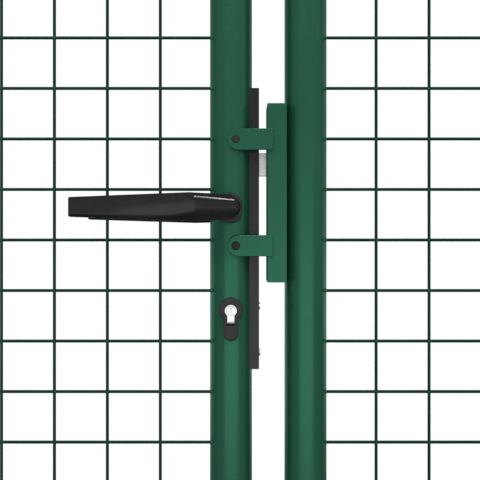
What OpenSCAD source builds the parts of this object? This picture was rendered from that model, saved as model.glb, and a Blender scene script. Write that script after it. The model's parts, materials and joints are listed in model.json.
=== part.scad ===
// Double-leaf welded-mesh garden gate on two round posts.
// X runs along the gate, Y points away from the street side, Z is up.
// The origin is the middle of the left post's foot, at ground level.

/* [Gate] */
// Height of each leaf over its top and bottom rails
leaf_h = 1200; // [900:50:1800]
// Width of each leaf over its stiles
leaf_w = 1334; // [800:2:1600]
// Gap between the ground and the bottom rails
ground_gap = 50; // [35:5:120]
// Gap between the two meeting stiles, face to face
meeting_gap = 32.3; // [28:0.1:45]

/* [Frame tube] */
// Outside diameter of the leaf frame tube
tube_d = 42; // [38:1:48]
// Wall of the leaf frame tube
tube_wall = 2; // [1.2:0.1:3]

/* [Mesh] */
// Diameter of the mesh wire
wire_d = 3; // [2.5:0.1:6]
// Distance between upright wires
pitch_x = 52.4; // [40:0.1:80]
// Distance between level wires
pitch_z = 50; // [40:0.5:80]
// Least distance from a stile's face to the nearest upright wire
edge_x = 30; // [15:1:45]
// Least distance from a rail's face to the nearest level wire
edge_z = 25; // [15:1:45]
// How far the mesh stands in front of the tubes' middle
mesh_front = 8; // [0:0.5:12]
// How far the mesh sits to the left of its leaf's middle
mesh_left = 0.3; // [0:0.1:5]

/* [Posts] */
// Outside diameter of a post
post_d = 60; // [50:1:76]
// Wall of a post
post_wall = 2; // [1.5:0.1:4]
// How far a post stands above the leaves
post_rise = 50; // [20:5:200]
// Height of the domed cap above the post
cap_h = 9; // [6:0.5:15]
// How far the cap's plug reaches into the post
cap_plug = 22; // [12:1:35]
// How far the cap's brim stands out over the post
cap_brim = 1.5; // [0.5:0.1:4]

/* [Hinges] */
// Diameter of a hinge hook bolt and its pin
pin_d = 16; // [12:1:20]
// Distance from a post's face to the hinge axis
hinge_out = 22; // [20:0.5:40]
// Gap between a post and the hinge stile, face to face
hinge_gap = 44; // [42:0.5:80]
// Distance from a leaf's top or bottom to its hinge
hinge_inset = 160; // [110:5:300]
// Length of the eye sleeve that turns on the pin
eye_h = 36; // [25:1:60]
// Wall of the eye sleeve
eye_wall = 4.5; // [3:0.5:7]
// Thickness of the strap that joins the eye to the stile
strap_t = 10; // [6:0.5:14]
// Thickness of a hinge nut
nut_t = 10; // [7:0.5:13]

/* [Lock] */
// Height of the lock's middle above the leaf's mid-height
lock_rise = 75; // [-100:5:200]
// Thickness of the lock case
case_t = 20.8; // [16:0.2:24]
// Reach of the lock case below its middle
case_down = 127.5; // [118:0.1:160]
// Reach of the lock case above its middle
case_up = 150.1; // [110:0.1:180]
// How far the lock's face stands out of the stile
face_out = 6.75; // [4:0.05:10]
// Height of the lever spindle above the lock's middle
spindle_z = 31; // [20:0.1:40]
// Side of the square spindle
spindle_w = 8; // [7:0.5:9]
// Height of the latch bolt
latch_h = 22.8; // [14:0.2:26]
// Thickness of the latch bolt
latch_t = 12; // [8:0.5:14]
// Height of the latch bolt's middle above the lock's middle
latch_z = 74.9; // [68:0.1:90]
// Distance that the latch reaches into the keep
latch_in = 7.2; // [5:0.2:8]
// Distance that the latch bolt slides when a lever is pressed
latch_throw = 13; // [12:0.5:14]
// Height of the dead bolt
dead_h = 24; // [16:1:28]
// Thickness of the dead bolt
dead_t = 10; // [8:0.5:14]
// Height of the dead bolt's middle above the lock's middle
dead_z = -22; // [-24:1:-6]
// Height of the lower face screw above the case's foot
screw_low = 15.5; // [10:0.5:30]
// Distance between the two face screws
screw_span = 46.1; // [30:0.1:60]
// Diameter of a face screw's head
screw_d = 7; // [5:0.1:9]
// How far a face screw's head stands out
screw_out = 1.7; // [1:0.1:3]

/* [Key plates] */
// Height of the key plate's round head above the lock's middle
key_z = -67.7; // [-72:0.1:-62]
// Diameter of the key plate's round head
plate_d = 23.1; // [20:0.1:26]
// Width of the key plate's tongue
plate_w = 14.5; // [12:0.1:18]
// Length of the key plate below the middle of its head
plate_down = 30.3; // [26:0.1:36]
// How far the key plates and roses stand out of the stile
plate_out = 6; // [4:0.5:10]
// Drop of the key cylinder's head below the middle of the plate's head
barrel_drop = 1; // [0:0.1:2]
// Diameter of the key cylinder's round head
barrel_d = 12.3; // [10:0.1:15]
// Width of the key cylinder's foot
barrel_w = 7.6; // [6:0.2:9]
// Length of the key cylinder below the middle of its head
barrel_down = 12; // [10:0.5:16]
// Room left under the foot of the key cylinder
barrel_room = 4.3; // [2:0.1:6]

/* [Lever handles] */
// Distance from the stile's face to the middle of a lever
lever_out = 34.5; // [28:0.5:50]
// Thickness of a lever, front to back
lever_t = 10; // [7:0.5:14]
// Length of a lever from the spindle to its tip
lever_l = 151.4; // [100:0.2:170]
// Reach of a lever's tip above the spindle
tip_up = 8.9; // [6:0.1:12]
// Reach of a lever's tip below the spindle
tip_down = 9.4; // [6:0.1:12]
// Radius of the lever's round end at the hub
hub_r = 12; // [11:0.1:14]
// Distance from the spindle back to the middle of the round end
hub_back = 3.4; // [0:0.1:3.5]
// Distance from the spindle to the lever's shoulder
shoulder_x = 38; // [25:1:60]
// Reach of the lever's shoulder above the spindle
shoulder_up = 13.4; // [12:0.1:16]
// Reach of the lever's shoulder below the spindle
shoulder_down = 13; // [12:0.1:16]
// Depth of the lever's front crease below the outline, at the shoulder
crease_start = 2.3; // [0.2:0.1:5]
// Rise of the lever's front crease above the spindle, at the hub's end
crease_z = 6.4; // [3:0.2:8]
// Angle by which the surface above the crease leans back
crease_lean = 46; // [20:1:50]
// Radius of the lever's neck
neck_r = 8; // [7:0.25:8.5]
// Width of a rose
rose_w = 22; // [20:0.5:28]
// Height of a rose
rose_h = 29.4; // [26:0.2:40]

/* [Keep and stops] */
// Gap between the lock's face and the keep
latch_gap = 7.9; // [6:0.05:9]
// How far the keep's edge wraps round the stile
keep_lap = 1.25; // [0.5:0.05:4]
// Reach of the keep below the lock's middle
keep_down = 41.4; // [38:0.2:60]
// Reach of the keep above the lock's middle
keep_up = 133.4; // [110:0.2:150]
// Wall of the keep
keep_wall = 2.5; // [2:0.1:3.5]
// Gap between a stop tab and the stile that it stops
tab_gap = 1.5; // [1:0.1:3]
// Thickness of a stop tab
tab_t = 4; // [3:0.5:6]
// Height of a stop tab
tab_h = 20.8; // [16:0.2:26]
// Reach of a stop tab past the middle of the stile that it stops
tab_past = 3.25; // [0:0.25:6]
// Lap of a stop tab on the keep
tab_lap = 5.4; // [4:0.1:15]
// Height of the upper stop tab above the lock's middle
upper_tab_z = 97.9; // [92:0.1:105]
// Height of the lower stop tab above the lock's middle
lower_tab_z = -5.6; // [-12:0.1:0]
// Diameter of a rubber buffer
buffer_d = 7.4; // [5:0.1:9]
// Distance from the stile's middle to a buffer
buffer_x = 4.7; // [3:0.1:8]

/* [Drop bolt] */
// Diameter of the drop bolt's rod
rod_d = 14; // [10:1:18]
// Length of the drop bolt's rod
rod_l = 400; // [300:10:480]
// Height of the raised rod's foot above the ground
rod_foot = 35; // [20:5:60]
// Length of the drop bolt's bent handle
grip_l = 60; // [40:5:90]
// Height of a guide sleeve
guide_h = 30; // [20:1:45]
// Height of the lower guide above the leaf's bottom
guide_low = 70; // [55:5:90]
// Distance between the two guides
guide_span = 190; // [150:5:220]
// Wall of a guide sleeve
guide_wall = 3; // [2:0.5:5]
// Distance from the stile's face to a guide sleeve
guide_out = 4; // [2:0.5:12]

/* [Hidden] */
$fn = 96;
green = [0.04, 0.2, 0.14];
black = [0.07, 0.07, 0.07];
zinc = [0.62, 0.63, 0.62];
rubber_grey = [0.1, 0.12, 0.11];
nothing = 0.01;       // room for a cut to pass cleanly through a face
run_fit = 0.05;       // radial clearance of a shaft that turns in a bore
loose_fit = 0.3;      // clearance of a piece that slides or rests on another body
seat_fit = 0.1;       // clearance of a fixed piece in its hole
latch_room = 1.5;     // room round a bolt in the keep's slot
wire_sides = 6;
weld_sink = 0.8;      // how much of a wire's thickness is fused at a crossing
boss_foot = 3;        // hook bolt's boss below its rod
pin_over = 8;         // pin above its eye
bolt_sink = 0.5;      // dead bolt behind the lock's face

tube_r = tube_d / 2;
tube_bore_r = tube_r - tube_wall;
post_r = post_d / 2;
pin_r = pin_d / 2;

// Places along X: post, hinge axis, hinge stile, lock stile, and the right side mirrored
hinge_x = post_r + hinge_out;
hinge_stile_x = post_r + hinge_gap + tube_r;
leaf_axis_w = leaf_w - tube_d;
lock_stile_x = hinge_stile_x + leaf_axis_w;
meeting_stile_x = lock_stile_x + tube_d + meeting_gap;
right_post_x = meeting_stile_x + lock_stile_x;

// Places along Z
leaf_top = ground_gap + leaf_h;
leaf_mid = ground_gap + leaf_h / 2;
lock_mid = leaf_mid + lock_rise;
post_top = leaf_top + post_rise;
hinge_levels = [ground_gap + hinge_inset, leaf_top - hinge_inset];

// Mesh: as many wires as fit, centred between the rails and between the stiles
clear_w = leaf_w - 2 * tube_d;
clear_h = leaf_h - 2 * tube_d;
uprights = 1 + floor((clear_w - 2 * edge_x) / pitch_x);
rows = 1 + floor((clear_h - 2 * edge_z) / pitch_z);
first_upright_x = hinge_stile_x + (leaf_axis_w - (uprights - 1) * pitch_x) / 2;
first_row_z = leaf_mid - (rows - 1) * pitch_z / 2;
inner_uprights = floor(uprights / 2);
outer_uprights = uprights - inner_uprights;
mesh_joint_x = first_upright_x + (outer_uprights - 0.5) * pitch_x;
weld_y = (1 - weld_sink) * wire_d / 2;

// Hinge: the boss of the hook bolt carries the eye
nut_r = 0.866 * pin_d;
boss_r = pin_r + eye_wall - 0.5;
boss_down = pin_r + boss_foot;
boss_up = nut_r + 1;
eye_r = pin_r + run_fit + eye_wall;
pin_top = boss_up + loose_fit + eye_h + pin_over;
bolt_tail = 6;

// Lock: the case fills the stile's bore behind its slot
case_back = sqrt(pow(tube_bore_r, 2) - pow(case_t / 2, 2)) - seat_fit;
case_face = tube_r + face_out;
channel_back = case_back - 2;
latch_tip = case_face + latch_gap + latch_in;
latch_tail = latch_throw - channel_back + 1;
latch_lip = latch_gap - 0.5; // flat part of the latch's front, up to the keep
latch_tip_t = 3;
spindle_room_r = spindle_w * 0.7072 + 0.6;
screw_levels = [screw_low - case_down, screw_low + screw_span - case_down];
screw_shank_r = 2;
screw_shank_l = 12;
barrel_fit = 0.2;
plate_face = tube_r + plate_out;
barrel_face = plate_face - 1;

// Lever
lever_face = tube_r + lever_out + lever_t / 2;
lever_back = tube_r + lever_out - lever_t / 2;
socket_l = 24;
neck_end = case_t / 2 + 2;
crease_fall = atan((shoulder_up - crease_start - crease_z) / (shoulder_x - hub_back + hub_r));

// Keep: a hollow box between the lock's face and the passive stile
keep_x0 = case_face + latch_gap;
keep_x1 = tube_r + meeting_gap + keep_lap;
keep_half = tube_r + tab_gap;
tab_face = keep_half + tab_t;
buffer_out = 0.8;

// Drop bolt, on the far side of the passive stile
guide_r = rod_d / 2 + seat_fit + guide_wall;
rod_y = tube_r + guide_out + guide_r;
guide_levels = [ground_gap + guide_low, ground_gap + guide_low + guide_span];
rod_top = rod_foot + rod_l;

// ---- Placing ----

// The right half is the left half mirrored about the middle of the gate.
module on_right() {
  translate([right_post_x, 0, 0]) mirror([1, 0, 0]) children();
}

// The lock's own frame: on the lock stile's axis, at the lock's middle.
module at_lock() {
  translate([lock_stile_x, 0, lock_mid]) children();
}

// Turns a flat outline in X and Z into a slab between two depths, y_near < y_far.
module slab(y_near, y_far) {
  translate([0, y_far, 0]) rotate([90, 0, 0]) linear_extrude(y_far - y_near) children();
}

module rod_along_y(r, y_near, y_far) {
  slab(y_near, y_far) circle(r);
}

// ---- Tubes ----

module tube(r, wall, length) {
  linear_extrude(length) difference() {
    circle(r);
    circle(r - wall);
  }
}

// A frame tube along Z, mitred at both ends, with its short side towards +X.
module mitred_tube(length) {
  reach = tube_r + 1;
  over = reach - tube_r;
  intersection() {
    tube(tube_r, tube_wall, length);
    slab(-reach, reach) polygon([
      [-reach, -over],
      [reach, tube_d + over],
      [reach, length - tube_d - over],
      [-reach, length + over]
    ]);
  }
}

// ---- Posts and caps ----

module post() {
  color(green) difference() {
    tube(post_r, post_wall, post_top);
    for (z = hinge_levels)
      translate([0, 0, z]) rotate([0, 90, 0])
        cylinder(r = pin_r + seat_fit, h = 3 * post_d, center = true);
  }
}

module post_cap() {
  brim_r = post_r + cap_brim;
  brim_t = 2;
  rise = cap_h - brim_t;
  dome_r = (brim_r * brim_r + rise * rise) / (2 * rise);
  color(black) translate([0, 0, post_top]) {
    translate([0, 0, -cap_plug]) cylinder(r = post_r - post_wall - seat_fit, h = cap_plug);
    cylinder(r = brim_r, h = brim_t);
    intersection() {
      translate([0, 0, cap_h - dome_r]) sphere(dome_r);
      translate([0, 0, brim_t]) cylinder(r = brim_r, h = cap_h);
    }
  }
}

// ---- Hinges ----

// A threaded rod through the post, ending in a boss with an upright pin.
module hinge_bolt(level) {
  tail = post_r + nut_t + bolt_tail;
  color(zinc) translate([0, 0, level]) {
    translate([-tail, 0, 0]) rotate([0, 90, 0]) cylinder(r = pin_r, h = tail + hinge_x);
    translate([hinge_x, 0, -boss_down]) cylinder(r = boss_r, h = boss_down + boss_up);
    translate([hinge_x, 0, 0]) cylinder(r = pin_r, h = pin_top);
  }
}

module hinge_nuts() {
  color(zinc)
    for (z = hinge_levels, x = [-post_r - nut_t, post_r])
      translate([x, 0, z]) rotate([0, 90, 0]) difference() {
        cylinder(r = nut_r, h = nut_t, $fn = 6);
        translate([0, 0, -nothing])
          cylinder(r = pin_r + seat_fit, h = nut_t + 2 * nothing);
      }
}

// Sleeves that turn on the pins, each with a strap coped to the stile.
module hinge_eyes() {
  color(green)
    for (z = hinge_levels)
      translate([0, 0, z + boss_up + loose_fit]) difference() {
        union() {
          translate([hinge_x, 0, 0]) cylinder(r = eye_r, h = eye_h);
          translate([hinge_x, -strap_t / 2, 0])
            cube([hinge_stile_x - hinge_x, strap_t, eye_h]);
        }
        translate([hinge_x, 0, -nothing])
          cylinder(r = pin_r + run_fit, h = eye_h + 2 * nothing);
        translate([hinge_stile_x, 0, -1]) cylinder(r = tube_r, h = eye_h + 2);
      }
}

// ---- Leaf frames ----

module hinge_stile() {
  color(green) translate([hinge_stile_x, 0, ground_gap]) mitred_tube(leaf_h);
}

module meeting_stile() {
  translate([lock_stile_x, 0, ground_gap]) mirror([1, 0, 0]) mitred_tube(leaf_h);
}

module top_rail() {
  color(green) translate([hinge_stile_x - tube_r, 0, leaf_top - tube_r])
    rotate([0, 90, 0]) mitred_tube(leaf_axis_w + tube_d);
}

module bottom_rail() {
  color(green) translate([hinge_stile_x - tube_r, 0, ground_gap + tube_r])
    mirror([0, 0, 1]) rotate([0, 90, 0]) mitred_tube(leaf_axis_w + tube_d);
}

module lock_stile() {
  color(green) difference() {
    meeting_stile();
    at_lock() {
      translate([0, -case_t / 2 - seat_fit, -case_down - seat_fit])
        cube([tube_d, case_t + 2 * seat_fit, case_down + case_up + 2 * seat_fit]);
      translate([0, 0, spindle_z]) rod_along_y(neck_r + 1, -tube_d, tube_d);
      slab(-tube_d, tube_d) key_outline(barrel_fit, barrel_room);
    }
  }
}

// Welded mesh: upright wires in front of level ones, fused where they cross.
// The wires end on the tubes, which are cut away here as solid rods.
module mesh(first, count, x_from, x_to, shift) {
  color(green) difference() {
    translate([0, -mesh_front, 0]) {
      for (i = [first : first + count - 1])
        translate([first_upright_x + i * pitch_x + shift, -weld_y, ground_gap + tube_r])
          cylinder(d = wire_d, h = leaf_h - tube_d, $fn = wire_sides);
      for (k = [0 : rows - 1])
        translate([x_from, weld_y, first_row_z + k * pitch_z]) rotate([0, 90, 0])
          cylinder(d = wire_d, h = x_to - x_from, $fn = wire_sides);
    }
    for (z = [ground_gap + tube_r, leaf_top - tube_r])
      translate([hinge_stile_x, 0, z]) rotate([0, 90, 0]) cylinder(r = tube_r, h = leaf_axis_w);
    for (x = [hinge_stile_x, lock_stile_x])
      translate([x, 0, ground_gap]) cylinder(r = tube_r, h = leaf_h);
  }
}

module outer_mesh(shift) {
  mesh(0, outer_uprights, hinge_stile_x, mesh_joint_x, shift);
}

module inner_mesh(shift) {
  mesh(outer_uprights, inner_uprights, mesh_joint_x, lock_stile_x, shift);
}

// ---- Lock ----

// The key cylinder's outline, grown by a fit and lengthened below by some room.
module key_outline(fit, room) {
  translate([0, key_z - barrel_drop]) {
    circle(barrel_d / 2 + fit);
    foot_w = barrel_w + 2 * fit;
    foot_l = barrel_down + fit + room;
    translate([-foot_w / 2, -foot_l]) square([foot_w, foot_l]);
  }
}

module lock_case() {
  color(black) at_lock() difference() {
    translate([-case_back, -case_t / 2, -case_down])
      cube([case_back + case_face, case_t, case_down + case_up]);
    bolt_channel(latch_z, latch_h, latch_t);
    bolt_channel(dead_z, dead_h, dead_t);
    translate([0, 0, spindle_z]) rod_along_y(spindle_room_r, -tube_d, tube_d);
    slab(-tube_d, tube_d) key_outline(barrel_fit, barrel_room);
    for (z = screw_levels)
      translate([case_face - screw_shank_l, 0, z]) rotate([0, 90, 0])
        cylinder(r = screw_shank_r + seat_fit, h = screw_shank_l + 1);
  }
}

module bolt_channel(z, h, t) {
  translate([-channel_back, -t / 2 - loose_fit, z - h / 2 - loose_fit])
    cube([channel_back + case_face + 1, t + 2 * loose_fit, h + 2 * loose_fit]);
}

// The nose is bevelled on the side that meets the keep as the leaf closes.
module latch_bolt() {
  bevel_x = case_face + latch_lip;
  color(zinc) at_lock() translate([0, 0, latch_z - latch_h / 2]) linear_extrude(latch_h)
    polygon([
      [latch_tail, -latch_t / 2],
      [bevel_x, -latch_t / 2],
      [latch_tip, latch_t / 2 - latch_tip_t],
      [latch_tip, latch_t / 2],
      [latch_tail, latch_t / 2]
    ]);
}

module dead_bolt() {
  back = -channel_back + seat_fit;
  color(zinc) at_lock() translate([back, -dead_t / 2, dead_z - dead_h / 2])
    cube([case_face - bolt_sink - back, dead_t, dead_h]);
}

module lock_screws() {
  color(zinc) at_lock()
    for (z = screw_levels)
      translate([case_face - screw_shank_l + 1, 0, z]) rotate([0, 90, 0]) {
        cylinder(r = screw_shank_r, h = screw_shank_l);
        translate([0, 0, screw_shank_l - 1]) cylinder(d = screw_d, h = screw_out);
      }
}

module front_rose() {
  color(black) at_lock() difference() {
    translate([0, 0, spindle_z]) slab(-plate_face, 0) {
      for (z = [-1, 1]) translate([0, z * (rose_h - rose_w) / 2]) circle(rose_w / 2);
      square([rose_w, rose_h - rose_w], center = true);
    }
    translate([0, 0, spindle_z]) rod_along_y(neck_r + run_fit, -tube_d, tube_d);
    translate([0, 0, -leaf_h / 2]) cylinder(r = tube_r, h = leaf_h);
  }
}

module front_key_plate() {
  color(black) at_lock() difference() {
    slab(-plate_face, 0) translate([0, key_z]) {
      circle(plate_d / 2);
      translate([-plate_w / 2, plate_w / 2 - plate_down])
        square([plate_w, plate_down - plate_w / 2]);
      translate([0, plate_w / 2 - plate_down]) circle(plate_w / 2);
    }
    slab(-tube_d, tube_d) key_outline(barrel_fit, barrel_room);
    translate([0, 0, -leaf_h / 2]) cylinder(r = tube_r, h = leaf_h);
  }
}

module key_cylinder() {
  color(zinc) at_lock() slab(-barrel_face, barrel_face) key_outline(0, 0);
}

// ---- Lever handles ----

module lever_outline() {
  translate([-hub_back, 0]) circle(hub_r);
  polygon([
    [-lever_l, -tip_down],
    [-lever_l, tip_up],
    [-shoulder_x, shoulder_up],
    [-hub_back, hub_r],
    [-hub_back, -hub_r],
    [-shoulder_x, -shoulder_down]
  ]);
}

// What is cut from the lever's front above the crease that falls from shoulder to hub.
module above_crease() {
  lead_in = 2 * lever_t;
  translate([-shoulder_x, -lever_face, shoulder_up - crease_start])
    rotate([0, crease_fall, 0]) rotate([-crease_lean, 0, 0])
      translate([-lead_in, -lever_t, 0])
        cube([lead_in + shoulder_x + 2 * hub_r, lever_t, 2 * hub_r]);
}

// The neck turns in the rose and holds the square spindle in its socket.
module front_lever() {
  color(black) at_lock() translate([0, 0, spindle_z]) difference() {
    union() {
      slab(-lever_face, -lever_back) lever_outline();
      rod_along_y(neck_r, -lever_back - nothing, -neck_end);
    }
    above_crease();
    slab(-neck_end - socket_l, 0) square(spindle_w, center = true);
  }
}

module spindle() {
  reach = neck_end + socket_l;
  color(zinc) at_lock() translate([0, 0, spindle_z])
    slab(-reach, reach) square(spindle_w, center = true);
}

// ---- Keep, stop tabs and buffers, on the passive leaf ----

module keep_box() {
  color(green) at_lock() difference() {
    translate([keep_x0, -keep_half, -keep_down])
      cube([keep_x1 - keep_x0, 2 * keep_half, keep_down + keep_up]);
    translate([keep_x0 + keep_wall, keep_wall - keep_half, keep_wall - keep_down])
      cube([
        tube_r + meeting_gap - keep_x0 - 2 * keep_wall,
        2 * (keep_half - keep_wall),
        keep_down + keep_up - 2 * keep_wall
      ]);
    keep_slot(latch_z, latch_h, latch_t);
    keep_slot(dead_z, dead_h, dead_t);
    translate([tube_d + meeting_gap, 0, -leaf_h / 2]) cylinder(r = tube_r, h = leaf_h);
  }
}

module keep_slot(z, h, t) {
  translate([keep_x0 - 1, -t / 2 - latch_room, z - h / 2 - latch_room])
    cube([keep_wall + 2, t + 2 * latch_room, h + 2 * latch_room]);
}

module stop_tab(z) {
  round_x = tab_h / 2 - tab_past;
  color(green) at_lock() translate([0, 0, z]) slab(-tab_face, -keep_half) difference() {
    union() {
      translate([round_x, 0]) circle(tab_h / 2);
      translate([round_x, -tab_h / 2]) square([keep_x0 + tab_lap - round_x, tab_h]);
    }
    translate([buffer_x, 0]) circle(buffer_d / 2 + run_fit);
  }
}

module stop_buffers() {
  color(rubber_grey) at_lock()
    for (z = [upper_tab_z, lower_tab_z])
      translate([buffer_x, 0, z])
        rod_along_y(buffer_d / 2, -tab_face - buffer_out, -tube_r - loose_fit);
}

// ---- Drop bolt of the passive leaf, held up ----

module drop_bolt() {
  color(zinc) translate([meeting_stile_x, rod_y, rod_foot]) {
    cylinder(d = rod_d, h = rod_l);
    translate([0, 0, rod_l - rod_d / 2]) rotate([0, 90, 0])
      cylinder(d = rod_d, h = grip_l);
  }
}

module drop_bolt_guides() {
  color(green)
    for (z = guide_levels)
      translate([meeting_stile_x, 0, z]) difference() {
        union() {
          translate([0, rod_y, 0]) cylinder(r = guide_r, h = guide_h);
          translate([-strap_t / 2, 0, 0]) cube([strap_t, rod_y, guide_h]);
        }
        translate([0, rod_y, -nothing])
          cylinder(r = rod_d / 2 + seat_fit, h = guide_h + 2 * nothing);
        translate([0, 0, -1]) cylinder(r = tube_r, h = guide_h + 2);
      }
}

// ---- Nodes ----

post();  // left_post
on_right() post();  // right_post
post_cap();  // left_post_cap
on_right() post_cap();  // right_post_cap
hinge_bolt(hinge_levels[1]);  // left_upper_hinge_bolt
hinge_bolt(hinge_levels[0]);  // left_lower_hinge_bolt
on_right() hinge_bolt(hinge_levels[1]);  // right_upper_hinge_bolt
on_right() hinge_bolt(hinge_levels[0]);  // right_lower_hinge_bolt
hinge_nuts();  // left_hinge_nuts
on_right() hinge_nuts();  // right_hinge_nuts
hinge_stile();  // left_hinge_stile
lock_stile();  // left_lock_stile
top_rail();  // left_top_rail
bottom_rail();  // left_bottom_rail
outer_mesh(-mesh_left);  // left_outer_mesh
inner_mesh(-mesh_left);  // left_inner_mesh
hinge_eyes();  // left_hinge_eyes
lock_case();
lock_screws();
dead_bolt();
front_rose();
mirror([0, 1, 0]) front_rose();  // back_rose
front_key_plate();
mirror([0, 1, 0]) front_key_plate();  // back_key_plate
key_cylinder();
front_lever();
mirror([0, 1, 0]) front_lever();  // back_lever
spindle();
latch_bolt();
on_right() hinge_stile();  // right_hinge_stile
color(green) on_right() meeting_stile();  // right_meeting_stile
on_right() top_rail();  // right_top_rail
on_right() bottom_rail();  // right_bottom_rail
on_right() outer_mesh(mesh_left);  // right_outer_mesh
on_right() inner_mesh(mesh_left);  // right_inner_mesh
on_right() hinge_eyes();  // right_hinge_eyes
keep_box();
stop_tab(upper_tab_z);  // upper_stop_tab
stop_tab(lower_tab_z);  // lower_stop_tab
stop_buffers();
drop_bolt();
drop_bolt_guides();
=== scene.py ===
# %% [markdown]
# # A double-leaf mesh garden gate
# The gate is two tube frames filled with welded mesh, hung on two round posts. In the
# middle sit a slim lock, two lever handles and a keep with two stop tabs.
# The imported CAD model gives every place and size. This script lays finer surfaces over it,
# gives them their finishes, and sets up a small studio.

# %% Load the frame
import json
import math

import bmesh
import bpy
import numpy as np
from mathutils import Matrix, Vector


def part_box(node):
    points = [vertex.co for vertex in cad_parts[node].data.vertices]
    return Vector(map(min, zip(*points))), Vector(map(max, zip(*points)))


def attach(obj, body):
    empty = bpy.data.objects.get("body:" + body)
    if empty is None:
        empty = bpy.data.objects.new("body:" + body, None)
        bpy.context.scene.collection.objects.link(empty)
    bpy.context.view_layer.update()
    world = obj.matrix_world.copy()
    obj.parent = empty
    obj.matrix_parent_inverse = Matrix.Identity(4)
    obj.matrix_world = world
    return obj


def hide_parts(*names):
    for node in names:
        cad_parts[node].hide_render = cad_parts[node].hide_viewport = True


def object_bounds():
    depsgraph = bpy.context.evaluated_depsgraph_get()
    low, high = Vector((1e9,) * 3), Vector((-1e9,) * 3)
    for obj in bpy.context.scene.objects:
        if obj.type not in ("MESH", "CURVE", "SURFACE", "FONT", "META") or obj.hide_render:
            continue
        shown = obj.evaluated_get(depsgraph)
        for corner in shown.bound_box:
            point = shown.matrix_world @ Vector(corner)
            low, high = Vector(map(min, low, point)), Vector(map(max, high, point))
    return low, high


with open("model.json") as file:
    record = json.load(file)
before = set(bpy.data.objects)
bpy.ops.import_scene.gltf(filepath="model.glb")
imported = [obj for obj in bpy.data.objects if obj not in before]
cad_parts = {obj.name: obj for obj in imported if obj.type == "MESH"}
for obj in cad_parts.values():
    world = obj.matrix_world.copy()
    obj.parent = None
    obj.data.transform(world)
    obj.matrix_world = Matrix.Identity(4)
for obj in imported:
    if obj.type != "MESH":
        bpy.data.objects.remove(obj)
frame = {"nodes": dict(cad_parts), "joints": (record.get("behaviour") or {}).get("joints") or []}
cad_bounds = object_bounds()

# %% [markdown]
# ## Places and sizes
# A CAD node keeps its place in its mesh, so its box tells where a tube runs and how thick
# it is. Reading sizes from boxes keeps the looks true to the solids when those change.
# Lengths are in metres, so MM turns a size from a drawing into metres.

# %% Sizes read from the frame
MM = 0.001


def box(node):
    """Lowest and highest corner of a CAD node, as arrays."""
    low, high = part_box(node)
    return np.array(low), np.array(high)


def middle(node):
    """The middle of a CAD node's box."""
    low, high = box(node)
    return (low + high) / 2


def half(node):
    """Half the size of a CAD node's box, along x, y and z."""
    low, high = box(node)
    return (high - low) / 2


SIDES = {"left": 1, "right": -1}  # which way along x the middle of the gate lies
FACES = {"front": -1, "back": 1}  # which way along y each face looks
SPINDLE_ABOVE_LOCK = 31 * MM

stile_low, stile_high = box("left_hinge_stile")
tube_r = half("left_hinge_stile")[0]
leaf_bottom, leaf_top = stile_low[2], stile_high[2]
axis_low, axis_high = leaf_bottom + tube_r, leaf_top - tube_r
joint_at = {
    joint["name"]: np.array(joint["pos_m"]) for joint in frame["joints"] if "pos_m" in joint
}
spindle_at = joint_at["handle_turn"]
lock_x, lock_mid = spindle_at[0], spindle_at[2] - SPINDLE_ABOVE_LOCK
STILES = {
    "left": (middle("left_hinge_stile")[0], middle("left_lock_stile")[0]),
    "right": (middle("right_hinge_stile")[0], middle("right_meeting_stile")[0]),
}
print("tube radius", round(tube_r, 4), "leaf from", leaf_bottom, "to", leaf_top, "stiles", STILES)

# %% [markdown]
# ## Finishes
# A powder coat is sprayed as dust and baked, so it has a faint orange-peel ripple about a
# millimetre wide and gloss that varies a little from place to place. Each finish below is
# one Principled shader: noise in Object coordinates drives its colour, its roughness and a
# small bump. Values that are the same all over stay on the shader's own sockets.

# %% Node helpers
FINISHES = {}
DULL = 0.7  # added to the roughness of a rubbed or unpolished side


def add_node(tree, kind, inputs=None, **settings):
    """Adds a node, sets its properties, and fills or links its inputs by name."""
    node = tree.nodes.new(kind)
    for name, value in settings.items():
        setattr(node, name, value)
    for name, value in (inputs or {}).items():
        if isinstance(value, bpy.types.NodeSocket):
            tree.links.new(value, node.inputs[name])
        else:
            node.inputs[name].default_value = value
    return node


def combine(tree, operation, *values):
    """The result of one Math node for the given numbers or sockets."""
    inputs = dict(enumerate(values))
    return add_node(tree, "ShaderNodeMath", inputs, operation=operation).outputs[0]


def parts_of(tree, where):
    """The X, Y and Z of a position."""
    return add_node(tree, "ShaderNodeSeparateXYZ", {"Vector": where}).outputs


def noise(tree, where, scale, detail=2.0):
    """Noise from 0 to 1, with features about 1 / scale metres wide."""
    inputs = {"Vector": where, "Scale": scale, "Detail": detail}
    return add_node(tree, "ShaderNodeTexNoise", inputs).outputs["Fac"]


def between(tree, value, low, high, start=0.3, end=0.7):
    """Maps a noise value onto the range low to high."""
    inputs = {"Value": value, "From Min": start, "From Max": end, "To Min": low, "To Max": high}
    return add_node(tree, "ShaderNodeMapRange", inputs).outputs["Result"]


def two_tones(tree, factor, dark, light):
    """A colour that goes from dark to light with the factor."""
    node = add_node(tree, "ShaderNodeMix", {"Factor": factor}, data_type="RGBA")
    first, second = (socket for socket in node.inputs if socket.type == "RGBA")
    first.default_value, second.default_value = (*dark, 1), (*light, 1)
    return next(socket for socket in node.outputs if socket.type == "RGBA")


def start_finish(slot, **shader_values):
    """A material with its Principled shader and Object coordinates, kept under its slot."""
    material = bpy.data.materials.new(slot)
    material.use_nodes = True
    tree = material.node_tree
    shader = tree.nodes["Principled BSDF"]
    for name, value in shader_values.items():
        shader.inputs[name.replace("_", " ")].default_value = value
    where = add_node(tree, "ShaderNodeTexCoord").outputs["Object"]
    FINISHES[slot] = material
    return tree, shader, where


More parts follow.
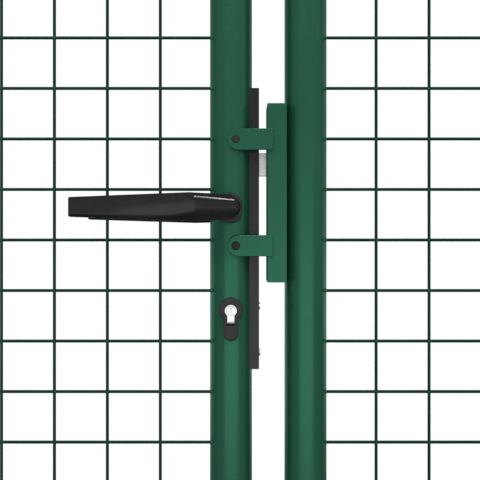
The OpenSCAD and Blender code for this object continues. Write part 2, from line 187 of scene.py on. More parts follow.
def vary(tree, shader, tone, dark, light, gloss, smooth, rough):
    """One pattern drives the colour between two tones, another the roughness. Hands back
    the roughness, for finishes that add to it."""
    tree.links.new(two_tones(tree, tone, dark, light), shader.inputs["Base Color"])
    roughness = between(tree, gloss, smooth, rough)
    tree.links.new(roughness, shader.inputs["Roughness"])
    return roughness


def roughen(tree, shader, mask, roughness):
    """Makes the finish dull where the mask is 1."""
    rougher = combine(tree, "MULTIPLY_ADD", mask, DULL, roughness)
    tree.links.new(rougher, shader.inputs["Roughness"])


def add_bump(tree, shader, height, depth):
    """Tilts the shader's normal by a height pattern that is depth metres deep."""
    bump = add_node(tree, "ShaderNodeBump", {"Height": height, "Distance": depth})
    tree.links.new(bump.outputs["Normal"], shader.inputs["Normal"])


# %% [markdown]
# ### Green powder coat
# The coat is a deep green with a soft sheen that takes on its own colour, as a coat with
# fine flakes does. A part of Metallic gives that tinted sheen, and the orange peel is a
# shallow bump. The wires have the same coat, thinner and much darker. On the side of the
# keep that the latch strikes, the coat is rubbed dull.

# %% Green coats
COAT_TINT = (0.4, 0.62, 0.52, 1)
COAT_SHEEN, WIRE_SHEEN = 0.5, 0.35
RUBBED_EDGE = 0.3 * MM


def powder_coat(slot, dark, light, rough, sheen, peel):
    """A coat whose tone drifts over 11 cm and whose gloss drifts over 1.4 cm."""
    tree, shader, where = start_finish(
        slot, Metallic=sheen, Specular_IOR_Level=0.3, Specular_Tint=COAT_TINT
    )
    drift, gloss = noise(tree, where, 9.0, 3.0), noise(tree, where, 70.0)
    roughness = vary(tree, shader, drift, dark, light, gloss, rough - 0.03, rough + 0.03)
    add_bump(tree, shader, noise(tree, where, 620.0), peel)
    return tree, shader, where, roughness


def rubbed_strike_face(tree, where):
    """1 on the keep's side that faces the latch: close to its plane, and behind the keep's
    front face."""
    strike, _ = box("keep_box")
    place = parts_of(tree, where)
    on_plane = combine(tree, "COMPARE", place["X"], strike[0], RUBBED_EDGE)
    behind_front = combine(tree, "GREATER_THAN", place["Y"], strike[1] + RUBBED_EDGE)
    return combine(tree, "MULTIPLY", on_plane, behind_front)


tree, shader, where, roughness = powder_coat(
    "green_coat", (0.030, 0.150, 0.087), (0.034, 0.163, 0.097), 0.26, COAT_SHEEN, 0.006 * MM
)
rubbed = rubbed_strike_face(tree, where)
roughen(tree, shader, rubbed, roughness)
sheen = between(tree, rubbed, COAT_SHEEN, 0.0, 0.0, 1.0)
tree.links.new(sheen, shader.inputs["Metallic"])
powder_coat(
    "green_wire", (0.0062, 0.041, 0.028), (0.0077, 0.048, 0.033), 0.34, WIRE_SHEEN, 0.001 * MM
)
print("green coats made")

# %% [markdown]
# ### Black coat and black plastics
# The lock case is coated steel. The roses and key plates are moulded plastic with a fine
# grain. The levers are smoother where hands would polish them, and dull on the side that
# faces the gate.

# %% Black finishes
POLISHED_DEPTH = (2 * MM, 6 * MM)  # how far behind the lever's front the polish fades


def black_finish(slot, tone, rough, grain_scale, grain_depth, specular=0.5):
    """Black with a tone that drifts over 4 cm, and a fine grain."""
    tree, shader, where = start_finish(slot, Specular_IOR_Level=specular)
    dark = tuple(0.85 * part for part in tone)
    light = tuple(1.15 * part for part in tone)
    drift, gloss = noise(tree, where, 25.0, 3.0), noise(tree, where, 160.0)
    roughness = vary(tree, shader, drift, dark, light, gloss, rough - 0.04, rough + 0.04)
    add_bump(tree, shader, noise(tree, where, grain_scale), grain_depth)
    return tree, shader, where, roughness


black_finish("black_coat", (0.0075, 0.0075, 0.0085), 0.28, 900.0, 0.006 * MM)
black_finish("black_plastic", (0.022, 0.021, 0.022), 0.48, 1500.0, 0.012 * MM)
tree, shader, where, roughness = black_finish(
    "lever_black", (0.004, 0.004, 0.0043), 0.16, 1500.0, 0.0015 * MM, 0.44
)
black_finish("cap_plastic", (0.012, 0.013, 0.012), 0.5, 1100.0, 0.02 * MM)
black_finish("buffer_rubber", (0.034, 0.040, 0.036), 0.75, 900.0, 0.02 * MM, 0.3)
lever_front = -box("front_lever")[0][1]
depth = combine(tree, "ABSOLUTE", parts_of(tree, where)["Y"])
polished_from, polished_to = lever_front - POLISHED_DEPTH[1], lever_front - POLISHED_DEPTH[0]
inner = between(tree, depth, 1.0, 0.0, polished_from, polished_to)
roughen(tree, shader, inner, roughness)
print("black finishes made")

# %% [markdown]
# ### Zinc and nickel
# Hot-dip zinc freezes into flat crystals, each with its own shade of grey, which Voronoi
# cells draw. The bolts of the lock are nickel-plated and brushed: noise that is squeezed
# along one direction reads as brush lines. The latch is plated too, but dull and pale.

# %% Metal finishes
tree, shader, where = start_finish("zinc_steel", Metallic=1.0)
crystals = add_node(tree, "ShaderNodeTexVoronoi", {"Vector": where, "Scale": 170.0})
shade = add_node(tree, "ShaderNodeRGBToBW", {"Color": crystals.outputs["Color"]}).outputs["Val"]
vary(tree, shader, shade, (0.42, 0.43, 0.44), (0.66, 0.67, 0.68), shade, 0.3, 0.5)
add_bump(tree, shader, noise(tree, where, 400.0), 0.03 * MM)

tree, shader, where = start_finish("lock_steel", Metallic=1.0)
squeeze = {"Vector": where, "Scale": (40.0, 40.0, 1600.0)}
squeezed = add_node(tree, "ShaderNodeMapping", squeeze).outputs["Vector"]
brushed = noise(tree, squeezed, 1.0, 3.0)
vary(tree, shader, brushed, (0.80, 0.80, 0.79), (0.92, 0.92, 0.91), brushed, 0.2, 0.32)
add_bump(tree, shader, brushed, 0.004 * MM)

tree, shader, where = start_finish("latch_zinc", Metallic=1.0)
drift = noise(tree, where, 60.0, 3.0)
vary(tree, shader, drift, (0.92, 0.92, 0.91), (0.97, 0.97, 0.96), drift, 0.36, 0.44)
add_bump(tree, shader, noise(tree, where, 1400.0), 0.004 * MM)
print("finishes:", sorted(FINISHES))

# %% [markdown]
# ## From grids of points to a piece
# Most new surfaces are grids: rows follow a path or a profile and columns run round it.
# numpy works out all corners at once, and one function turns the grids into a mesh. The
# columns run anticlockwise seen against the rows, so that every face looks outwards, and
# the volume that is printed is positive when that holds.

# %% Build and dress helpers
SHARP_ANGLE = 38


def points_of(x, y, z):
    """Points from three arrays or numbers that are spread to one shape."""
    return np.stack(np.broadcast_arrays(x, y, z), -1).astype(float)


def full_turn(count):
    """Evenly spaced angles once round, anticlockwise."""
    return np.linspace(0, 2 * np.pi, count, endpoint=False)


def way_along(line):
    """How far along a line of points each of them lies."""
    steps = np.linalg.norm(np.diff(line, axis=0), axis=1)
    return np.concatenate([[0], np.cumsum(steps)])


def signed_volume(mesh):
    """Sum over triangles of the box product of their corners, divided by six."""
    mesh.calc_loop_triangles()
    corners = np.zeros(3 * len(mesh.vertices))
    mesh.vertices.foreach_get("co", corners)
    used = np.zeros(3 * len(mesh.loop_triangles), int)
    mesh.loop_triangles.foreach_get("vertices", used)
    a, b, c = corners.reshape(-1, 3)[used.reshape(-1, 3)].transpose(1, 0, 2)
    return float((np.cross(a, b) * c).sum() / 6)


def show(name, data):
    """A new object that shows its data in the scene."""
    shown = bpy.data.objects.new(name, data)
    bpy.context.scene.collection.objects.link(shown)
    return shown


def put_in_scene(name, mesh, slot, body, stands_for):
    """Shows a mesh as a piece that rides on a body and stands for some CAD nodes."""
    piece = show(name, mesh)
    mesh.materials.clear()
    mesh.materials.append(FINISHES[slot])
    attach(piece, body)
    if stands_for:
        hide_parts(*stands_for)
    return piece


def grid_faces(number, ring):
    """Four corners for each square of a grid of corner numbers. A ring also joins its last
    row to its first."""
    if ring:
        number = np.vstack([number, number[:1]])
    beside = np.roll(number, -1, axis=1)
    return np.stack([number[:-1], beside[:-1], beside[1:], number[1:]], -1).reshape(-1, 4)


def clean(mesh, merge_distance, sharp_angle=SHARP_ANGLE, flatten=False):
    """Merges doubled corners, joins flat triangles if asked, and shades smooth up to an
    angle."""
    shape = bmesh.new()
    shape.from_mesh(mesh)
    bmesh.ops.remove_doubles(shape, verts=shape.verts, dist=merge_distance)
    if flatten:
        flat = math.radians(0.4)
        bmesh.ops.dissolve_limit(shape, angle_limit=flat, verts=shape.verts, edges=shape.edges)
    shape.to_mesh(mesh)
    shape.free()
    mesh.shade_smooth()
    mesh.set_sharp_from_angle(angle=math.radians(sharp_angle))


def add_piece(name, grids, slot, body, stands_for=(), sharp_angle=SHARP_ANGLE):
    """One mesh from grids of points, each (points, closing). Closing is "ends" for flat end
    faces, "ring" where the last row meets the first, and None where the end rows are
    poles."""
    corners, faces, start = [], [], 0
    for points, closing in grids:
        rows, columns = points.shape[:2]
        number = start + np.arange(rows * columns).reshape(rows, columns)
        faces += grid_faces(number, closing == "ring").tolist()
        if closing == "ends":
            faces += [number[0, ::-1].tolist(), number[-1].tolist()]
        corners.append(points.reshape(-1, 3))
        start += rows * columns
    mesh = bpy.data.meshes.new(name)
    mesh.from_pydata(np.concatenate(corners).tolist(), [], faces)
    clean(mesh, 1e-7, sharp_angle)
    print(f"{name}: {len(mesh.polygons)} faces, {signed_volume(mesh) * 1e6:.1f} cm3")
    return put_in_scene(name, mesh, slot, body, stands_for)


def dressed(node, slot, body, width, segments=2):
    """A copy of a CAD node, its triangles joined into whole faces and its sharp edges
    rounded by a live Bevel."""
    mesh = frame["nodes"][node].data.copy()
    clean(mesh, 1e-6, flatten=True)
    piece = put_in_scene(node + "_dressed", mesh, slot, body, [node])
    bevel = piece.modifiers.new("rounded_edges", "BEVEL")
    bevel.width = width
    bevel.segments = segments
    bevel.limit_method = "ANGLE"
    bevel.angle_limit = math.radians(SHARP_ANGLE)
    bevel.harden_normals = True
    print(f"{piece.name}: {len(mesh.polygons)} faces before rounding")
    return piece


# %% [markdown]
# ## Shapes turned and shapes run along a path
# Two families cover most of a gate. A turned shape is a profile spun about an axis: caps,
# pins, screws. A run shape is a circle carried along a path: wires, rods, weld beads.

# %% Turned and run shapes
AXES = {
    "x": np.array([[0, 1, 0], [0, 0, 1], [1, 0, 0]], float),
    "y": np.array([[0, 0, 1], [1, 0, 0], [0, 1, 0]], float),
    "z": np.array([[1, 0, 0], [0, 1, 0], [0, 0, 1]], float),
}


def turned(profile, centre, axis="z", sides=64):
    """Profile rows are (radius, height). Each becomes a circle: centre + radius (cos, sin)
    + height along the axis."""
    profile = np.asarray(profile, float)
    across, up, along = AXES[axis]
    angle = full_turn(sides)
    circle = np.cos(angle)[:, None] * across + np.sin(angle)[:, None] * up
    return np.asarray(centre) + profile[:, :1, None] * circle + profile[:, 1:, None] * along


def run_along(path, outward, radius, sides, closed=False):
    """A circle of the given radius round each path point, in the plane of outward and of
    outward crossed with the path's direction. A closed path doesn't repeat its first
    point."""
    path = np.asarray(path, float)
    outward = np.broadcast_to(np.asarray(outward, float), path.shape)
    if closed:
        forward = np.roll(path, -1, axis=0) - np.roll(path, 1, axis=0)
    else:
        forward = np.gradient(path, axis=0)
    forward /= np.linalg.norm(forward, axis=1, keepdims=True)
    beside = np.cross(forward, outward)
    beside /= np.linalg.norm(beside, axis=1, keepdims=True)
    outward = np.cross(beside, forward)
    angle = full_turn(sides)
    radius = np.broadcast_to(radius, len(path))[:, None, None]
    ring = np.cos(angle)[:, None] * outward[:, None] + np.sin(angle)[:, None] * beside[:, None]
    return path[:, None] + radius * ring


# %% [markdown]
# ## Posts and their caps
# A post is a 60 mm tube. Turning the outline of its wall, up the outside and down the
# inside, gives a tube with a real wall and a slightly broken rim. The cap is a shallow
# moulded dome with a rounded brim, so its profile is an arc.

# %% Posts
RIM = 0.4 * MM
POST_WALL = 2 * MM
for side in SIDES:
    node = side + "_post"
    outer, top = half(node)[0], box(node)[1][2]
    inner = outer - POST_WALL
    wall = [
        (outer - RIM, 0), (outer, RIM), (outer, top / 2), (outer, top - RIM), (outer - RIM, top),
        (inner + RIM, top), (inner, top - RIM), (inner, RIM), (inner + RIM, 0),
    ]
    tube = turned(wall, [middle(node)[0], 0, 0], sides=96)
    add_piece(node + "_tube", [(tube, "ring")], "green_coat", "posts", [node])

# %% Post caps
BRIM_ROUND = 1.0 * MM
PLUG_GAP = 3.7 * MM
turn = np.linspace(-np.pi / 2, np.pi / 3, 9)
share = np.linspace(0, 1, 14)[1:]
for side in SIDES:
    node = side + "_post_cap"
    low, high = box(node)
    brim_r = half(node)[0]
    brim_z = box(side + "_post")[1][2]
    brim = np.stack([
        brim_r + BRIM_ROUND * (np.cos(turn) - 1), brim_z + BRIM_ROUND * (1 + np.sin(turn))
    ], 1)
    shoulder_r, shoulder_z = brim[-1]
    dome = np.stack([
        shoulder_r * (1 - share), shoulder_z + (high[2] - shoulder_z) * (1 - (1 - share) ** 2)
    ], 1)
    plug_r = brim_r - PLUG_GAP
    plug = np.array([(0, low[2]), (plug_r - MM, low[2]), (plug_r, low[2] + MM), (plug_r, brim_z)])
    cap = turned(np.vstack([plug, brim, dome]), [middle(node)[0], 0, 0])
    add_piece(side + "_cap_moulding", [(cap, None)], "cap_plastic", "posts", [node])

# %% [markdown]
# ## Hinges
# Each hinge is a hook bolt through the post: a threaded rod, a boss, and an upright pin on
# which the leaf's eye turns. The thread shows on the tail behind the nut, so that stretch
# gets a real helix: the radius dips as the angle and the way along the rod advance
# together. A nut is a hexagon whose corners are cut by a cone, which draws the small arcs
# on its faces.

# %% Hook bolts
PIN_R = 8 * MM
BOSS_FOOT = PIN_R + 3 * MM
BOSS_RISE = 1.732 * PIN_R + MM
BOSS_EDGE = 0.8 * MM
NUT_T = 10 * MM
THREAD_PITCH, THREAD_DEPTH, THREAD_LENGTH = 2 * MM, 1.1 * MM, 8 * MM
TIP_CHAMFER = 1.5 * MM


def threaded_rod(x_from, x_to, z, toward):
    """Radius = rod radius - depth x (triangle wave of way / pitch - angle / turn), with a
    chamfer at the tip. The rod is plain after its thread."""
    way = np.concatenate([np.linspace(0, THREAD_LENGTH, 40), [abs(x_to - x_from)]])[:, None]
    angle = full_turn(48)
    phase = (way / THREAD_PITCH - angle / (2 * np.pi)) % 1
    dip = THREAD_DEPTH * np.abs(2 * phase - 1)
    dip[-2:] = 0
    radius = PIN_R - np.maximum(dip, np.clip(TIP_CHAMFER - way, 0, None))
    spread = toward * angle
    return points_of(x_from + toward * way, radius * np.cos(spread), z + radius * np.sin(spread))


hinge_levels = []
for side, toward in SIDES.items():
    hinge_x = joint_at[side + "_leaf_swing"][0]
    for place in ("upper", "lower"):
        node = f"{side}_{place}_hinge_bolt"
        low, high = box(node)
        level = low[2] + BOSS_FOOT
        hinge_levels.append(level)
        boss_r, boss_top = half(node)[1], level + BOSS_RISE
        pin = [
            (0, low[2]), (boss_r - BOSS_EDGE, low[2]), (boss_r, low[2] + BOSS_EDGE),
            (boss_r, boss_top - BOSS_EDGE), (boss_r - BOSS_EDGE, boss_top), (PIN_R, boss_top),
            (PIN_R, high[2] - 1.6 * MM), (PIN_R - 0.6 * MM, high[2] - 0.5 * MM),
            (PIN_R - 1.8 * MM, high[2]), (0, high[2]),
        ]
        tail_x = low[0] if side == "left" else high[0]
        rod = threaded_rod(tail_x, hinge_x, level, toward)
        add_piece(node + "_hook", [(turned(pin, [hinge_x, 0, 0]), None), (rod, "ends")],
                  "zinc_steel", "posts", [node])
hinge_levels = sorted(set(round(float(z), 5) for z in hinge_levels))
hinge_spread = hinge_levels[1] - hinge_levels[0]

# %% Nuts
def hex_nut(x_from, z, corner_r):
    """Radius = flat distance / cos(angle from the flat's middle), but never past a cone
    that starts inside the corners at each face."""
    way = np.array([0, 0.06, 0.14, 0.24, 0.5, 0.76, 0.86, 0.94, 1])[:, None] * NUT_T
    angle = full_turn(72)
    flat = corner_r * np.cos(np.pi / 6)
    hexagon = flat / np.cos((angle + np.pi / 6) % (np.pi / 3) - np.pi / 6)
    cone = flat + 1.7 * np.minimum(way, NUT_T - way)
    radius = np.minimum(hexagon, cone)
    return points_of(x_from + way, -radius * np.sin(angle), z + radius * np.cos(angle))


for side in SIDES:
    node = side + "_hinge_nuts"
    low, high = box(node)
    corner_r = (high[2] - low[2] - hinge_spread) / 2
    nuts = [
        (hex_nut(x, z, corner_r), "ends") for x in (low[0], high[0] - NUT_T) for z in hinge_levels
    ]
    add_piece(node + "_cut", nuts, "zinc_steel", "posts", [node])

# %% Eyes
for side in SIDES:
    dressed(side + "_hinge_eyes", "green_coat", side + "_leaf", 1.0 * MM, 3)

# %% [markdown]
# ## Leaf frames
# A leaf's frame is one size of tube, sawn at 45 degrees at its corners and welded. A tube
# is a grid of rings. Each end ring is sheared: a point that sits further towards the
# inside of the frame ends further along, by the same amount, and that is what a 45 degree
# cut does.

# %% Mitred tubes
def mitred_tube(start, end, inward):
    """Ring point = axis point + r (cos inward + sin beside). Along the tube each end is set
    in by r cos, which is the mitre."""
    length = np.linalg.norm(end - start)
    along = (end - start) / length
    beside = np.cross(along, inward)
    angle = full_turn(96)
    across = np.cos(angle)[:, None] * inward + np.sin(angle)[:, None] * beside
    set_in = tube_r * np.cos(angle)[:, None]
    near = start + tube_r * across + set_in * along
    far = end + tube_r * across - set_in * along
    share = np.linspace(0, 1, 9)[:, None, None]
    return near + share * (far - near)


for side, toward in SIDES.items():
    outer_x, inner_x = STILES[side]
    tubes = {
        "hinge_stile": ((outer_x, axis_low), (outer_x, axis_high), (toward, 0)),
        "top_rail": ((outer_x, axis_high), (inner_x, axis_high), (0, -1)),
        "bottom_rail": ((outer_x, axis_low), (inner_x, axis_low), (0, 1)),
    }
    if side == "right":
        tubes["meeting_stile"] = ((inner_x, axis_low), (inner_x, axis_high), (-toward, 0))
    for part, ends in tubes.items():
        node = f"{side}_{part}"
        start, end, inward = (np.array([x, 0, z], float) for x, z in ends)
        add_piece(node + "_tube", [(mitred_tube(start, end, inward), "ends")],
                  "green_coat", side + "_leaf", [node])

# %% [markdown]
# The lock stile is slotted for the lock and bored for the levers and the key, so it keeps
# its CAD shape, with a fine bevel at each cut. Long faces that end at a hole shade
# unevenly, because a corner's normal is an average of the faces round it. The outer wall is
# a known cylinder, so its normals can be worked out and set instead.

# %% Lock stile
def point_normals_outwards(piece, axis_x, radius):
    """Keeps the rounded mesh, and turns each normal on the outer wall straight away from
    the tube's upright axis: (x - axis_x, y, 0) / radius."""
    rounded = piece.evaluated_get(bpy.context.evaluated_depsgraph_get())
    mesh = bpy.data.meshes.new_from_object(rounded)
    piece.modifiers.clear()
    piece.data = mesh
    corners = np.zeros(3 * len(mesh.vertices))
    mesh.vertices.foreach_get("co", corners)
    away = corners.reshape(-1, 3) - [axis_x, 0, 0]
    away[:, 2] = 0
    distance = np.linalg.norm(away, axis=1)
    used = np.zeros(len(mesh.loops), int)
    mesh.loops.foreach_get("vertex_index", used)
    normals = np.zeros(3 * len(mesh.loops))
    mesh.corner_normals.foreach_get("vector", normals)
    normals = normals.reshape(-1, 3)
    outer = (np.abs(distance - radius) < 0.02 * MM)[used]
    normals[outer] = (away / distance[:, None])[used[outer]]
    mesh.normals_split_custom_set(normals.tolist())
    print(piece.name, "has", int(outer.sum()), "of", len(used), "normals set")


stile = dressed("left_lock_stile", "green_coat", "left_leaf", 0.3 * MM)
point_normals_outwards(stile, STILES["left"][1], tube_r)

# %% [markdown]
# ## Weld beads
# A bead is a row of small overlapping pools. Its radius swells a little with every pool,
# so a circle is run along the seam with a radius that ripples. At a mitre the seam is an
# ellipse.

# %% Beads round the mitres
BEAD_R, MITRE_BEAD_R = 1.5 * MM, 1.1 * MM
POOL = 2.6 * MM
BEAD_SIDES = 10


def pools(phase):
    """Swells by a tenth with each pool."""
    return 1 + 0.1 * np.abs(np.sin(np.pi * phase))


def bead(path, outward):
    """A run circle with a pool every 2.6 mm, which shrinks to nothing at both ends."""
    way = way_along(path)
    to_end = np.minimum(way, way[-1] - way)
    swell = BEAD_R * pools(way / POOL) * np.sqrt(np.clip(to_end / (2 * BEAD_R), 0.02, 1))
    return run_along(path, outward, swell, BEAD_SIDES), "ends"


def ring_bead(path, outward):
    """A closed run circle with a pool to every four points of its path."""
    count = len(path)
    swell = MITRE_BEAD_R * pools(np.round(count / 4) * np.arange(count) / count)
    return run_along(path, outward, swell, BEAD_SIDES, closed=True), "ring"


turn = full_turn(220)
for side, toward in SIDES.items():
    grids = []
    for x, inward in zip(STILES[side], (toward, -toward)):
        for z, rise in ((axis_low, 1), (axis_high, -1)):
            out = points_of(inward * np.cos(turn), np.sin(turn), rise * np.cos(turn))
            grids.append(ring_bead([x, 0, z] + tube_r * out, out))
    add_piece(side + "_mitre_welds", grids, "green_coat", side + "_leaf")

# %% Beads along the hinge straps
STRAP_HALF = 5 * MM
strap_foot = math.sqrt(tube_r ** 2 - STRAP_HALF ** 2)


def upright_bead(x, y, foot, height, outward, count):
    """A bead along an upright seam, 1 mm short of both its ends."""
    seam = points_of(x, y, np.linspace(foot + MM, foot + height - MM, count))
    return bead(seam, outward)


for side, toward in SIDES.items():
    low, high = box(side + "_hinge_eyes")
    eye_h = high[2] - low[2] - hinge_spread
    seam_x = STILES[side][0] - toward * strap_foot
    grids = [
        upright_bead(seam_x, face * STRAP_HALF, z, eye_h, [-toward, face, 0], 80)
        for z in (low[2], high[2] - eye_h) for face in (-1, 1)
    ]
    add_piece(side + "_strap_welds", grids, "green_coat", side + "_leaf")

# %% [markdown]
# ## Welded mesh
# Upright wires cross level wires every 52 by 50 mm and are fused where they touch. A wire
# is a straight round bar. The fused metal at a crossing is a low pillow that fills the
# four small corners between the wires, and the coat lies thicker there, as a bead round
# the front wire. A ring of metal stands where a wire ends on a tube. These welds take the
# paler coat of the frame, not the wires' darker one: a painted highlight where the light
# catches the fused metal. There are hundreds of each, so these shapes have few faces, and
# one function repeats a shape at all places.

# %% Wires
WIRE_R = 1.55 * MM
MESH_LEFT = 0.3 * MM
PITCH_X, PITCH_Z = 52.4 * MM, 50 * MM
LEAST_X, LEAST_Z = 30 * MM, 25 * MM


def evenly(clear_low, clear_high, pitch, least):
    """As many places as fit a clear length with the least distance left at each end,
    centred."""
    room = clear_high - clear_low - 2 * least
    count = 1 + int(room / pitch + 1e-6)
    centre = (clear_low + clear_high) / 2
    return centre + pitch * (np.arange(count) - (count - 1) / 2)


def straight_wires(starts, ends):
    """One closed grid for each wire: two rings of points round its axis."""
    return [
        (run_along([start, end], [0, -1, 0], WIRE_R, 14), "ends")
        for start, end in zip(starts, ends)
    ]


rows = evenly(leaf_bottom + 2 * tube_r, leaf_top - 2 * tube_r, PITCH_Z, LEAST_Z)
wires = {}
for side in SIDES:
    low, high = box(side + "_outer_mesh")
    front_y, back_y = low[1] + WIRE_R, high[1] - WIRE_R
    near_x, far_x = min(STILES[side]), max(STILES[side])
    uprights = evenly(near_x + tube_r, far_x - tube_r, PITCH_X, LEAST_X) - MESH_LEFT
    wires[side] = (uprights, front_y, back_y, near_x, far_x)
    sunk = math.sqrt(tube_r ** 2 - front_y ** 2) - 1 * MM
    grids = straight_wires(points_of(uprights, front_y, axis_low + sunk),
                           points_of(uprights, front_y, axis_high - sunk))
    grids += straight_wires(points_of(near_x + sunk, back_y, rows),
                            points_of(far_x - sunk, back_y, rows))
    add_piece(side + "_mesh_wires", grids, "green_wire", side + "_leaf",
              [side + "_outer_mesh", side + "_inner_mesh"])
print(len(uprights), "uprights and", len(rows), "rows in a leaf")

# %% Fused crossings and wire ends
FUSED_PILLOW = (2.2 * MM, 1.25 * MM)
COAT_BEAD = (2.0 * MM, WIRE_R + 0.15 * MM)


def repeated(shape, x, y, z):
    """Copies one small grid of points to every place: shape[None] + place[:, None, None]."""
    return [(copy, None) for copy in shape[None] + points_of(x, y, z)[:, None, None]]


def pillow(width, depth):
    """Ring radius = sin(latitude) to the power 0.8, squeezed in y to the depth."""
    latitude = np.linspace(0, np.pi, 5)
    ring = width * np.sin(latitude) ** 0.8
    ring[[0, -1]] = 0
    return turned(np.stack([ring, -depth * np.cos(latitude)], 1), [0, 0, 0], "y", 8)


def end_collar(axis, rise):
    """A low cone round a wire, 2.5 mm in radius on the tube and closing on the wire."""
    profile = np.array([(0, -1.2), (2.5, -1.2), (2.3, 0.1), (1.45, 1.3), (0, 1.3)]) * MM
    profile[:, 1] *= rise
    return turned(profile[::rise], [0, 0, 0], axis, 10)


for side in SIDES:
    uprights, front_y, back_y, near_x, far_x = wires[side]
    x, z = (part.ravel() for part in np.meshgrid(uprights, rows))
    surface = math.sqrt(tube_r ** 2 - front_y ** 2)
    grids = [
        *repeated(pillow(*FUSED_PILLOW), x, (front_y + back_y) / 2, z),
        *repeated(pillow(*COAT_BEAD), x, front_y, z),
        *repeated(end_collar("z", 1), uprights, front_y, axis_low + surface),
        *repeated(end_collar("z", -1), uprights, front_y, axis_high - surface),
        *repeated(end_collar("x", 1), near_x + surface, back_y, rows),
        *repeated(end_collar("x", -1), far_x - surface, back_y, rows),
    ]
    # The welds take the paler frame coat, a painted highlight on the crossings and wire ends.
    add_piece(side + "_mesh_welds", grids, "green_coat", side + "_leaf", sharp_angle=80)

# %% [markdown]
# ## Lock case, bolts and screws
# The case is a folded steel box with crisp, slightly rounded edges, so the CAD shape gets
# a live bevel. The face screws are pan heads with a cross recess. The head is a polar
# grid whose height falls off towards its rim and dips where either arm of the cross runs.

# %% Lock case and bolts
dressed("lock_case", "black_coat", "left_leaf", 1.2 * MM, 3)
dressed("dead_bolt", "lock_steel", "left_leaf", 0.4 * MM)
dressed("latch_bolt", "latch_zinc", "latch", 0.3 * MM, 3)
dressed("spindle", "lock_steel", "handle", 0.3 * MM)

# %% Face screws
def soft_step(value, start, end):
    """0 before start, 1 after end, and 3t^2 - 2t^3 between."""
    share = np.clip((value - start) / (end - start), 0, 1)
    return share * share * (3 - 2 * share)


def pan_head(centre, radius, height):
    """Height x (1 - 0.35 (r / R)^4), less a cross of two arms 0.9 mm wide and deep."""
    ring = radius * np.concatenate([[0], np.linspace(0.04, 0.94, 20), [0.985, 1, 1]])
    angle = full_turn(72)
    r, turn = np.meshgrid(ring, angle, indexing="ij")
    y, z = -r * np.sin(turn), r * np.cos(turn)
    top = height * (1 - 0.35 * (r / radius) ** 4)
    arm = 1 - soft_step(np.minimum(np.abs(y), np.abs(z)), 0.35 * MM, 0.55 * MM)
    top -= 0.9 * MM * arm * (1 - soft_step(r, 1.7 * MM, 2.2 * MM))
    top[-1] = -0.2 * MM
    return points_of(centre[0] + top, centre[1] + y, centre[2] + z)[::-1]


low, high = box("lock_screws")
case_face = box("lock_case")[1][0]
head_r = half("lock_screws")[1]
grids = []
for z in (low[2] + head_r, high[2] - head_r):
    head = pan_head([case_face, 0, z], head_r, high[0] - case_face)
    shank = turned([(0, low[0]), (2 * MM, low[0] + MM), (2 * MM, case_face)], [0, 0, z], "x", 24)
    grids += [(head, "ends"), (shank, "ends")]
add_piece("lock_pan_screws", grids, "lock_steel", "left_leaf", ["lock_screws"], 50)

# %% [markdown]
# ## Roses and key plates
# These are mouldings that saddle the round stile. Seen from the front, an outline is a
# union of circles and bars round one centre, so a ray from the centre leaves it once. The
# grid turns with that ray. Its rows climb from the tube, round over the edge and run in
# across a slightly crowned face to the hole.

# %% Outlines seen from the front
def reach(angle, shapes):
    """Furthest distance at which a ray from the centre leaves any of the shapes, each
    ("round", x, z, r) or ("bar", half width, low, high)."""
    along = np.stack([np.cos(angle), np.sin(angle)])
    furthest = np.zeros_like(angle)
    for kind, *sizes in shapes:
        if kind == "round":
            x, z, r = sizes
            ahead = x * along[0] + z * along[1]
            left = ahead ** 2 - (x * x + z * z) + r * r
            leaves = np.where(left >= 0, ahead + np.sqrt(np.clip(left, 0, None)), 0)
        else:
            half_width, low, high = sizes
            with np.errstate(divide="ignore"):
                across = half_width / np.abs(along[0])
                up = np.where(along[1] > 0, high, low) / along[1]
            leaves = np.minimum(across, up)
        furthest = np.maximum(furthest, leaves)
    return furthest


def ring_of(angle, shapes, inset=0.0):
    """Outline points (x, z), moved in along the outline's own normal by the inset."""
    distance = reach(angle, shapes)
    x, z = distance * np.cos(angle), distance * np.sin(angle)
    forward = np.stack([np.roll(x, -1) - np.roll(x, 1), np.roll(z, -1) - np.roll(z, 1)])
    forward /= np.hypot(*forward)
    return np.stack([x - inset * forward[1], z + inset * forward[0]])


def even_angles(shapes, count):
    """Angles at which the outline's points are equally far apart along it."""
    fine = np.linspace(0, 2 * np.pi, 4001)
    way = way_along(reach(fine, shapes)[:, None] * np.stack([np.cos(fine), np.sin(fine)], 1))
    return np.interp(np.linspace(0, way[-1], count, endpoint=False), way, fine)


# %% Grids that face the front or the back
def stacked(rows):
    """Rows of ((x, z), depth) as three grids: x, depth and z."""
    x, z = np.stack([flat for flat, _ in rows], 1)
    return x, np.stack([np.broadcast_to(depth, x.shape[1]) for _, depth in rows]), z


def facing_grid(x, depth, z, centre, facing):
    """Points round a centre (x, z), with their depth towards the side that they face."""
    points = points_of(centre[0] + x, facing * depth, centre[1] + z)
    return points if facing < 0 else points[:, ::-1]


# %% Saddled mouldings
EDGE_ROUND = 1.3 * MM
LIP = 0.3 * MM
INTO_TUBE = 0.6 * MM


def tube_depth(flat):
    """How far out the stile's surface lies at each x, less a little to bury the edge."""
    return np.sqrt(np.clip(tube_r ** 2 - flat[0] ** 2, 0, None)) - INTO_TUBE


